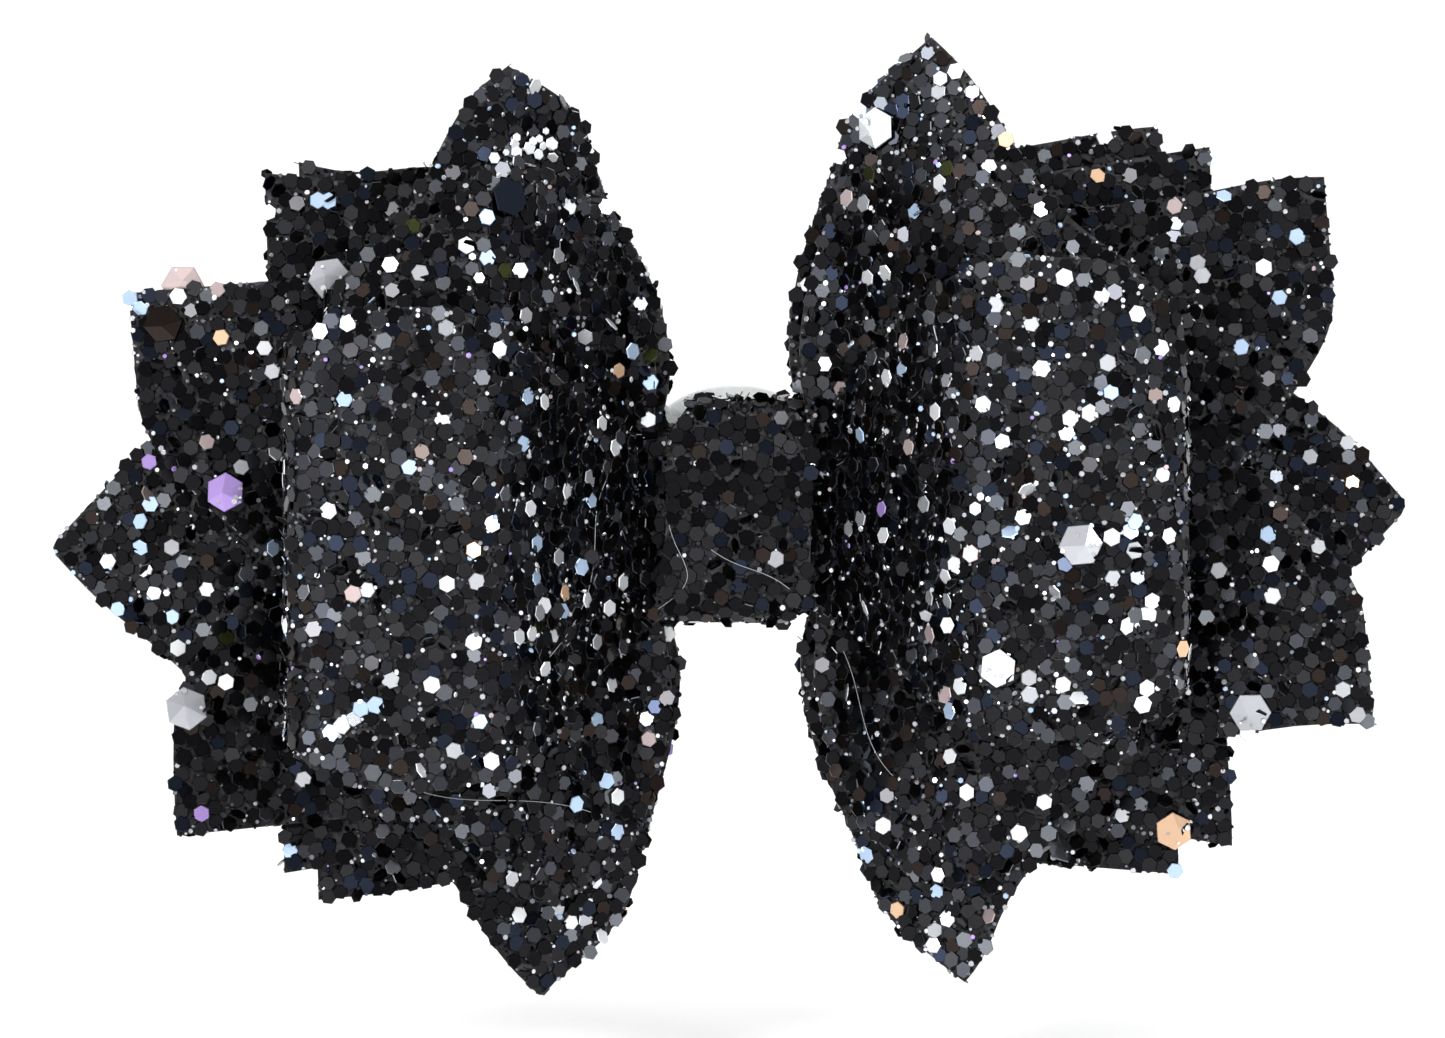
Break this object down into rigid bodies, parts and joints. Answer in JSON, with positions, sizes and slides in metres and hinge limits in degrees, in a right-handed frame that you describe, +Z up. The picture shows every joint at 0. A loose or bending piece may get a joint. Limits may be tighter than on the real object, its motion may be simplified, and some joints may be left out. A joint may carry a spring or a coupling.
{
  "type": "cheer hair bow",
  "caption": "Stacked hair bow of black chunky-glitter sheet: nested loops over square, notched and pointed tails, pinched by a centre wrap, on a sprung toothed clip.",
  "frame": {"origin": "in the closed mouth of the clip, between its lined arm and its jaw, straight behind the middle of the knot", "axes": "+X along the bow's width, to the right as seen from the front; +Y to the back, towards the wearer's head; +Z up"},
  "size_m": [0.1262, 0.0489, 0.087],
  "materials": {
    "glitter_sheet": "glossy hexagonal glitter on a woven backing",
    "hot_glue": "glossy, milky",
    "thread": "matte",
    "felt": "matte felt",
    "ribbon": "ribbed, dull",
    "clip_steel": "bright nickel plate",
    "pin_steel": "bright nickel plate",
    "spring_steel": "drawn wire"
  },
  "bodies": {
    "bow": {"pointed_tails": "glitter_sheet", "rear_square_tails": "glitter_sheet", "front_square_tails": "glitter_sheet", "notched_tails": "glitter_sheet", "petal_loops": "glitter_sheet", "arched_loops": "glitter_sheet", "front_loops": "glitter_sheet", "centre_wrap": "glitter_sheet", "layer_glue": "hot_glue", "wrap_glue": "hot_glue", "felt_glue": "hot_glue", "clip_glue": "hot_glue", "binding_thread": "thread", "felt_patch": "felt", "clip_ribbon": "ribbon", "clip_base": "clip_steel", "pivot_pin": "pin_steel", "clip_spring": "spring_steel"},
    "jaw": {"clip_jaw": "clip_steel"}
  },
  "joints": [
    {"name": "jaw_hinge", "type": "hinge", "parent": "bow", "child": "jaw", "pos_m": [0.012, 0.0026, 0], "axis": [0, 0, -1], "range_deg": [0, 40], "stiffness_Nm_per_rad": 0.05, "springref_deg": -91.67, "deforming": ["clip_spring"]}
  ]
}
